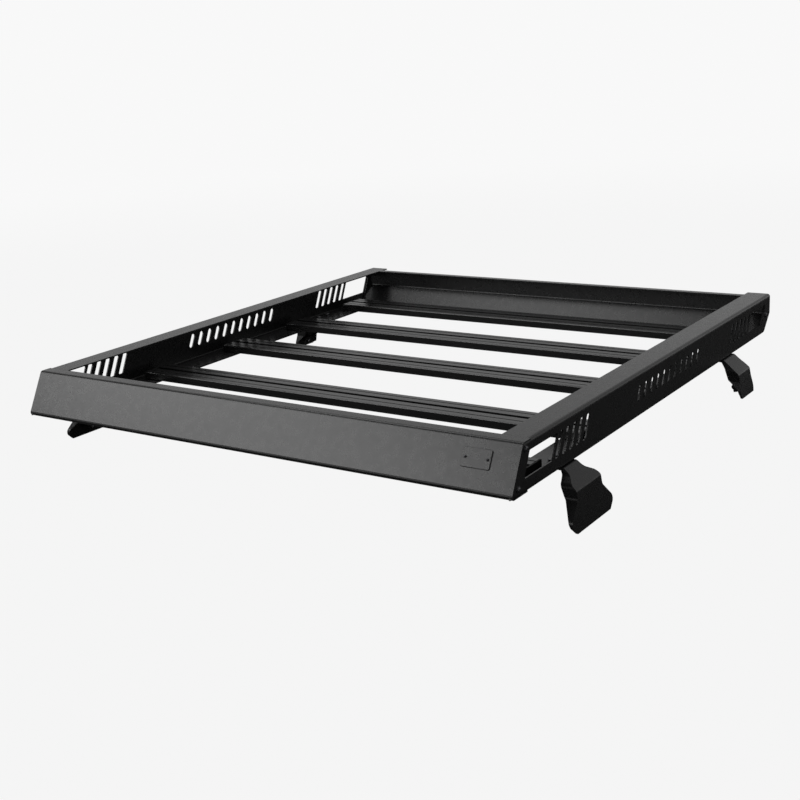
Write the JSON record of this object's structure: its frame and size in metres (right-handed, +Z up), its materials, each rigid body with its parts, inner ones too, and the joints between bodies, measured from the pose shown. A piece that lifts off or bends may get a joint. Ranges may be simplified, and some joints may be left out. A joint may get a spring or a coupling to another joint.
{
  "type": "roof rack",
  "caption": "Flat vehicle roof rack: a folded-sheet tray with pierced side rails, a leaning front panel and slotted crossbars, on flared gutter-clamp feet.",
  "frame": {"origin": "middle of the rack in plan, at the level of the front feet's lower ends", "axes": "+X to the right across the vehicle, +Y towards its rear, +Z up"},
  "size_m": [1.3502, 1.3517, 0.2],
  "materials": {
    "frame_coat": "satin black powder coat on aluminium sheet",
    "bar_coat": "satin black coat on aluminium extrusion",
    "foot_coat": "black powder coat on pressed steel",
    "cap_plastic": "matt black moulded plastic",
    "rubber": "matt black rubber",
    "fasteners": "dark zinc-plated steel"
  },
  "bodies": {
    "root": {"front_panel": "frame_coat", "rear_panel": "frame_coat", "left_rail": "frame_coat", "right_rail": "frame_coat", "crossbar_1": "bar_coat", "crossbar_2": "bar_coat", "crossbar_3": "bar_coat", "crossbar_4": "bar_coat", "crossbar_5": "bar_coat", "bar_caps_left": "cap_plastic", "bar_caps_right": "cap_plastic", "angle_front_left": "frame_coat", "angle_front_right": "frame_coat", "angle_rear_left": "frame_coat", "angle_rear_right": "frame_coat", "foot_front_left": "foot_coat", "foot_front_right": "foot_coat", "foot_rear_left": "foot_coat", "foot_rear_right": "foot_coat", "clamp_front_left": "foot_coat", "clamp_front_right": "foot_coat", "clamp_rear_left": "foot_coat", "clamp_rear_right": "foot_coat", "pad_front_left": "rubber", "pad_front_right": "rubber", "pad_rear_left": "rubber", "pad_rear_right": "rubber"}
  },
  "joints": []
}
